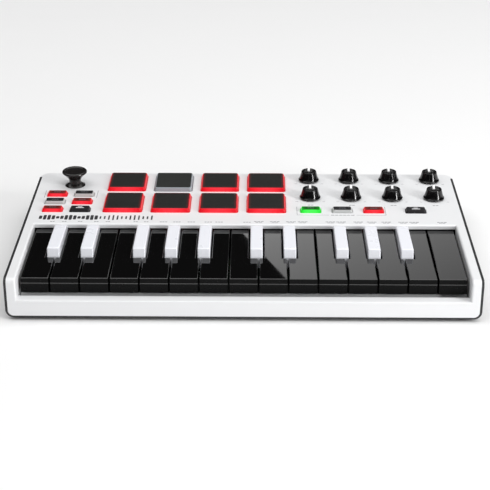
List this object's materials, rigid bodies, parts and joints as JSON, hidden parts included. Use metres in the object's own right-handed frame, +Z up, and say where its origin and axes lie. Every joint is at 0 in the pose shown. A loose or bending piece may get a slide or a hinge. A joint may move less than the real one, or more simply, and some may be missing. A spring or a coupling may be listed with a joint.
{
  "type": "midi keyboard",
  "caption": "Compact desktop keyboard controller with black naturals and white sharps, backlit pads, push buttons, rotary knobs and a thumb joystick.",
  "frame": {"origin": "on the table, under the middle of the case", "axes": "+X to the player's right, +Y away from the player, +Z up"},
  "size_m": [0.318, 0.181, 0.0425],
  "materials": {
    "case_white": "satin moulded",
    "case_dark": "fine texture",
    "key_black": "polished",
    "key_white": "satin",
    "pad_silicone": "matte",
    "button_silicone": "matte",
    "lit_red": "backlit translucent",
    "lit_green": "backlit translucent",
    "unlit_clear": "frosted translucent",
    "knob_black": "soft touch",
    "joystick_black": "soft touch",
    "white_print": "screen print",
    "grey_print": "screen print",
    "chassis_plastic": "moulded",
    "circuit_board": "solder resist",
    "socket_black": "moulded",
    "socket_metal": "nickel plated",
    "foot_rubber": "matte",
    "screw_steel": "black zinc"
  },
  "bodies": {
    "case": {"bottom_case": "case_dark", "top_case": "case_white", "key_chassis": "chassis_plastic", "circuit_boards": "circuit_board", "rear_sockets": "socket_black", "rubber_feet": "foot_rubber", "case_screws": "screw_steel"},
    "natural_key_01": {"natural_key_01": "key_black"},
    "natural_key_02": {"natural_key_02": "key_black"},
    "natural_key_03": {"natural_key_03": "key_black"},
    "natural_key_04": {"natural_key_04": "key_black"},
    "natural_key_05": {"natural_key_05": "key_black"},
    "natural_key_06": {"natural_key_06": "key_black"},
    "natural_key_07": {"natural_key_07": "key_black"},
    "natural_key_08": {"natural_key_08": "key_black"},
    "natural_key_09": {"natural_key_09": "key_black"},
    "natural_key_10": {"natural_key_10": "key_black"},
    "natural_key_11": {"natural_key_11": "key_black"},
    "natural_key_12": {"natural_key_12": "key_black"},
    "natural_key_13": {"natural_key_13": "key_black"},
    "natural_key_14": {"natural_key_14": "key_black"},
    "natural_key_15": {"natural_key_15": "key_black"},
    "sharp_key_01": {"sharp_key_01": "key_white"},
    "sharp_key_02": {"sharp_key_02": "key_white"},
    "sharp_key_03": {"sharp_key_03": "key_white"},
    "sharp_key_04": {"sharp_key_04": "key_white"},
    "sharp_key_05": {"sharp_key_05": "key_white"},
    "sharp_key_06": {"sharp_key_06": "key_white"},
    "sharp_key_07": {"sharp_key_07": "key_white"},
    "sharp_key_08": {"sharp_key_08": "key_white"},
    "sharp_key_09": {"sharp_key_09": "key_white"},
    "sharp_key_10": {"sharp_key_10": "key_white"},
    "pad_1": {"pad_1": "pad_silicone"},
    "pad_2": {"pad_2": "pad_silicone"},
    "pad_3": {"pad_3": "pad_silicone"},
    "pad_4": {"pad_4": "pad_silicone"},
    "pad_5": {"pad_5": "pad_silicone"},
    "pad_6": {"pad_6": "pad_silicone"},
    "pad_7": {"pad_7": "pad_silicone"},
    "pad_8": {"pad_8": "pad_silicone"},
    "button_01": {"button_01": "button_silicone"},
    "button_02": {"button_02": "button_silicone"},
    "button_03": {"button_03": "button_silicone"},
    "button_04": {"button_04": "button_silicone"},
    "button_05": {"button_05": "button_silicone"},
    "button_06": {"button_06": "button_silicone"},
    "button_07": {"button_07": "button_silicone"},
    "button_08": {"button_08": "button_silicone"},
    "button_09": {"button_09": "button_silicone"},
    "button_10": {"button_10": "button_silicone"},
    "knob_1": {"knob_1": "knob_black"},
    "knob_2": {"knob_2": "knob_black"},
    "knob_3": {"knob_3": "knob_black"},
    "knob_4": {"knob_4": "knob_black"},
    "knob_5": {"knob_5": "knob_black"},
    "knob_6": {"knob_6": "knob_black"},
    "knob_7": {"knob_7": "knob_black"},
    "knob_8": {"knob_8": "knob_black"},
    "joystick_gimbal": {"joystick_gimbal": "chassis_plastic"},
    "joystick": {"joystick": "joystick_black"}
  },
  "joints": [
    {"name": "natural_key_01_press", "type": "hinge", "parent": "case", "child": "natural_key_01", "pos_m": [-0.14, 0.0095, 0.021], "axis": [1, 0, 0], "range_deg": [0, 3.2], "stiffness_Nm_per_rad": 0.5, "springref_deg": -5.16},
    {"name": "natural_key_02_press", "type": "hinge", "parent": "case", "child": "natural_key_02", "pos_m": [-0.12, 0.0095, 0.021], "axis": [1, 0, 0], "range_deg": [0, 3.2], "stiffness_Nm_per_rad": 0.5, "springref_deg": -5.16},
    {"name": "natural_key_03_press", "type": "hinge", "parent": "case", "child": "natural_key_03", "pos_m": [-0.1, 0.0095, 0.021], "axis": [1, 0, 0], "range_deg": [0, 3.2], "stiffness_Nm_per_rad": 0.5, "springref_deg": -5.16},
    {"name": "natural_key_04_press", "type": "hinge", "parent": "case", "child": "natural_key_04", "pos_m": [-0.08, 0.0095, 0.021], "axis": [1, 0, 0], "range_deg": [0, 3.2], "stiffness_Nm_per_rad": 0.5, "springref_deg": -5.16},
    {"name": "natural_key_05_press", "type": "hinge", "parent": "case", "child": "natural_key_05", "pos_m": [-0.06, 0.0095, 0.021], "axis": [1, 0, 0], "range_deg": [0, 3.2], "stiffness_Nm_per_rad": 0.5, "springref_deg": -5.16},
    {"name": "natural_key_06_press", "type": "hinge", "parent": "case", "child": "natural_key_06", "pos_m": [-0.04, 0.0095, 0.021], "axis": [1, 0, 0], "range_deg": [0, 3.2], "stiffness_Nm_per_rad": 0.5, "springref_deg": -5.16},
    {"name": "natural_key_07_press", "type": "hinge", "parent": "case", "child": "natural_key_07", "pos_m": [-0.02, 0.0095, 0.021], "axis": [1, 0, 0], "range_deg": [0, 3.2], "stiffness_Nm_per_rad": 0.5, "springref_deg": -5.16},
    {"name": "natural_key_08_press", "type": "hinge", "parent": "case", "child": "natural_key_08", "pos_m": [0, 0.0095, 0.021], "axis": [1, 0, 0], "range_deg": [0, 3.2], "stiffness_Nm_per_rad": 0.5, "springref_deg": -5.16},
    {"name": "natural_key_09_press", "type": "hinge", "parent": "case", "child": "natural_key_09", "pos_m": [0.02, 0.0095, 0.021], "axis": [1, 0, 0], "range_deg": [0, 3.2], "stiffness_Nm_per_rad": 0.5, "springref_deg": -5.16},
    {"name": "natural_key_10_press", "type": "hinge", "parent": "case", "child": "natural_key_10", "pos_m": [0.04, 0.0095, 0.021], "axis": [1, 0, 0], "range_deg": [0, 3.2], "stiffness_Nm_per_rad": 0.5, "springref_deg": -5.16},
    {"name": "natural_key_11_press", "type": "hinge", "parent": "case", "child": "natural_key_11", "pos_m": [0.06, 0.0095, 0.021], "axis": [1, 0, 0], "range_deg": [0, 3.2], "stiffness_Nm_per_rad": 0.5, "springref_deg": -5.16},
    {"name": "natural_key_12_press", "type": "hinge", "parent": "case", "child": "natural_key_12", "pos_m": [0.08, 0.0095, 0.021], "axis": [1, 0, 0], "range_deg": [0, 3.2], "stiffness_Nm_per_rad": 0.5, "springref_deg": -5.16},
    {"name": "natural_key_13_press", "type": "hinge", "parent": "case", "child": "natural_key_13", "pos_m": [0.1, 0.0095, 0.021], "axis": [1, 0, 0], "range_deg": [0, 3.2], "stiffness_Nm_per_rad": 0.5, "springref_deg": -5.16},
    {"name": "natural_key_14_press", "type": "hinge", "parent": "case", "child": "natural_key_14", "pos_m": [0.12, 0.0095, 0.021], "axis": [1, 0, 0], "range_deg": [0, 3.2], "stiffness_Nm_per_rad": 0.5, "springref_deg": -5.16},
    {"name": "natural_key_15_press", "type": "hinge", "parent": "case", "child": "natural_key_15", "pos_m": [0.14, 0.0095, 0.021], "axis": [1, 0, 0], "range_deg": [0, 3.2], "stiffness_Nm_per_rad": 0.5, "springref_deg": -5.16},
    {"name": "sharp_key_01_press", "type": "hinge", "parent": "case", "child": "sharp_key_01", "pos_m": [-0.1315, 0.0095, 0.021], "axis": [1, 0, 0], "range_deg": [0, 4.5], "stiffness_Nm_per_rad": 0.5, "springref_deg": -5.16},
    {"name": "sharp_key_02_press", "type": "hinge", "parent": "case", "child": "sharp_key_02", "pos_m": [-0.1084, 0.0095, 0.021], "axis": [1, 0, 0], "range_deg": [0, 4.5], "stiffness_Nm_per_rad": 0.5, "springref_deg": -5.16},
    {"name": "sharp_key_03_press", "type": "hinge", "parent": "case", "child": "sharp_key_03", "pos_m": [-0.0724, 0.0095, 0.021], "axis": [1, 0, 0], "range_deg": [0, 4.5], "stiffness_Nm_per_rad": 0.5, "springref_deg": -5.16},
    {"name": "sharp_key_04_press", "type": "hinge", "parent": "case", "child": "sharp_key_04", "pos_m": [-0.0504, 0.0095, 0.021], "axis": [1, 0, 0], "range_deg": [0, 4.5], "stiffness_Nm_per_rad": 0.5, "springref_deg": -5.16},
    {"name": "sharp_key_05_press", "type": "hinge", "parent": "case", "child": "sharp_key_05", "pos_m": [-0.0278, 0.0095, 0.021], "axis": [1, 0, 0], "range_deg": [0, 4.5], "stiffness_Nm_per_rad": 0.5, "springref_deg": -5.16},
    {"name": "sharp_key_06_press", "type": "hinge", "parent": "case", "child": "sharp_key_06", "pos_m": [0.0085, 0.0095, 0.021], "axis": [1, 0, 0], "range_deg": [0, 4.5], "stiffness_Nm_per_rad": 0.5, "springref_deg": -5.16},
    {"name": "sharp_key_07_press", "type": "hinge", "parent": "case", "child": "sharp_key_07", "pos_m": [0.0316, 0.0095, 0.021], "axis": [1, 0, 0], "range_deg": [0, 4.5], "stiffness_Nm_per_rad": 0.5, "springref_deg": -5.16},
    {"name": "sharp_key_08_press", "type": "hinge", "parent": "case", "child": "sharp_key_08", "pos_m": [0.0676, 0.0095, 0.021], "axis": [1, 0, 0], "range_deg": [0, 4.5], "stiffness_Nm_per_rad": 0.5, "springref_deg": -5.16},
    {"name": "sharp_key_09_press", "type": "hinge", "parent": "case", "child": "sharp_key_09", "pos_m": [0.0896, 0.0095, 0.021], "axis": [1, 0, 0], "range_deg": [0, 4.5], "stiffness_Nm_per_rad": 0.5, "springref_deg": -5.16},
    {"name": "sharp_key_10_press", "type": "hinge", "parent": "case", "child": "sharp_key_10", "pos_m": [0.1122, 0.0095, 0.021], "axis": [1, 0, 0], "range_deg": [0, 4.5], "stiffness_Nm_per_rad": 0.5, "springref_deg": -5.16},
    {"name": "pad_1_press", "type": "slide", "parent": "case", "child": "pad_1", "axis": [0, 0, -1], "range_m": [0, 0.0008], "stiffness_N_per_m": 2000, "springref_m": -0.0005},
    {"name": "pad_2_press", "type": "slide", "parent": "case", "child": "pad_2", "axis": [0, 0, -1], "range_m": [0, 0.0008], "stiffness_N_per_m": 2000, "springref_m": -0.0005},
    {"name": "pad_3_press", "type": "slide", "parent": "case", "child": "pad_3", "axis": [0, 0, -1], "range_m": [0, 0.0008], "stiffness_N_per_m": 2000, "springref_m": -0.0005},
    {"name": "pad_4_press", "type": "slide", "parent": "case", "child": "pad_4", "axis": [0, 0, -1], "range_m": [0, 0.0008], "stiffness_N_per_m": 2000, "springref_m": -0.0005},
    {"name": "pad_5_press", "type": "slide", "parent": "case", "child": "pad_5", "axis": [0, 0, -1], "range_m": [0, 0.0008], "stiffness_N_per_m": 2000, "springref_m": -0.0005},
    {"name": "pad_6_press", "type": "slide", "parent": "case", "child": "pad_6", "axis": [0, 0, -1], "range_m": [0, 0.0008], "stiffness_N_per_m": 2000, "springref_m": -0.0005},
    {"name": "pad_7_press", "type": "slide", "parent": "case", "child": "pad_7", "axis": [0, 0, -1], "range_m": [0, 0.0008], "stiffness_N_per_m": 2000, "springref_m": -0.0005},
    {"name": "pad_8_press", "type": "slide", "parent": "case", "child": "pad_8", "axis": [0, 0, -1], "range_m": [0, 0.0008], "stiffness_N_per_m": 2000, "springref_m": -0.0005},
    {"name": "button_01_press", "type": "slide", "parent": "case", "child": "button_01", "axis": [0, 0, -1], "range_m": [0, 0.001], "stiffness_N_per_m": 800, "springref_m": -0.001},
    {"name": "button_02_press", "type": "slide", "parent": "case", "child": "button_02", "axis": [0, 0, -1], "range_m": [0, 0.001], "stiffness_N_per_m": 800, "springref_m": -0.001},
    {"name": "button_03_press", "type": "slide", "parent": "case", "child": "button_03", "axis": [0, 0, -1], "range_m": [0, 0.001], "stiffness_N_per_m": 800, "springref_m": -0.001},
    {"name": "button_04_press", "type": "slide", "parent": "case", "child": "button_04", "axis": [0, 0, -1], "range_m": [0, 0.001], "stiffness_N_per_m": 800, "springref_m": -0.001},
    {"name": "button_05_press", "type": "slide", "parent": "case", "child": "button_05", "axis": [0, 0, -1], "range_m": [0, 0.001], "stiffness_N_per_m": 800, "springref_m": -0.001},
    {"name": "button_06_press", "type": "slide", "parent": "case", "child": "button_06", "axis": [0, 0, -1], "range_m": [0, 0.001], "stiffness_N_per_m": 800, "springref_m": -0.001},
    {"name": "button_07_press", "type": "slide", "parent": "case", "child": "button_07", "axis": [0, 0, -1], "range_m": [0, 0.001], "stiffness_N_per_m": 800, "springref_m": -0.001},
    {"name": "button_08_press", "type": "slide", "parent": "case", "child": "button_08", "axis": [0, 0, -1], "range_m": [0, 0.001], "stiffness_N_per_m": 800, "springref_m": -0.001},
    {"name": "button_09_press", "type": "slide", "parent": "case", "child": "button_09", "axis": [0, 0, -1], "range_m": [0, 0.001], "stiffness_N_per_m": 800, "springref_m": -0.001},
    {"name": "button_10_press", "type": "slide", "parent": "case", "child": "button_10", "axis": [0, 0, -1], "range_m": [0, 0.001], "stiffness_N_per_m": 800, "springref_m": -0.001},
    {"name": "knob_1_turn", "type": "hinge", "parent": "case", "child": "knob_1", "pos_m": [0.0482, 0.0443, 0.0305], "axis": [0, 0, 1], "range_deg": [-135, 135]},
    {"name": "knob_2_turn", "type": "hinge", "parent": "case", "child": "knob_2", "pos_m": [0.0787, 0.0443, 0.0305], "axis": [0, 0, 1], "range_deg": [-135, 135]},
    {"name": "knob_3_turn", "type": "hinge", "parent": "case", "child": "knob_3", "pos_m": [0.1094, 0.0443, 0.0305], "axis": [0, 0, 1], "range_deg": [-135, 135]},
    {"name": "knob_4_turn", "type": "hinge", "parent": "case", "child": "knob_4", "pos_m": [0.1403, 0.0443, 0.0305], "axis": [0, 0, 1], "range_deg": [-135, 135]},
    {"name": "knob_5_turn", "type": "hinge", "parent": "case", "child": "knob_5", "pos_m": [0.0482, 0.0775, 0.0305], "axis": [0, 0, 1], "range_deg": [-135, 135]},
    {"name": "knob_6_turn", "type": "hinge", "parent": "case", "child": "knob_6", "pos_m": [0.0787, 0.0775, 0.0305], "axis": [0, 0, 1], "range_deg": [-135, 135]},
    {"name": "knob_7_turn", "type": "hinge", "parent": "case", "child": "knob_7", "pos_m": [0.1094, 0.0775, 0.0305], "axis": [0, 0, 1], "range_deg": [-135, 135]},
    {"name": "knob_8_turn", "type": "hinge", "parent": "case", "child": "knob_8", "pos_m": [0.1403, 0.0775, 0.0305], "axis": [0, 0, 1], "range_deg": [-135, 135]},
    {"name": "joystick_sideways", "type": "hinge", "parent": "case", "child": "joystick_gimbal", "pos_m": [-0.1299, 0.0673, 0.0235], "axis": [0, 1, 0], "range_deg": [-15, 15], "stiffness_Nm_per_rad": 0.08},
    {"name": "joystick_fore_aft", "type": "hinge", "parent": "joystick_gimbal", "child": "joystick", "pos_m": [-0.1299, 0.0673, 0.0235], "axis": [1, 0, 0], "range_deg": [-15, 15], "stiffness_Nm_per_rad": 0.08}
  ]
}
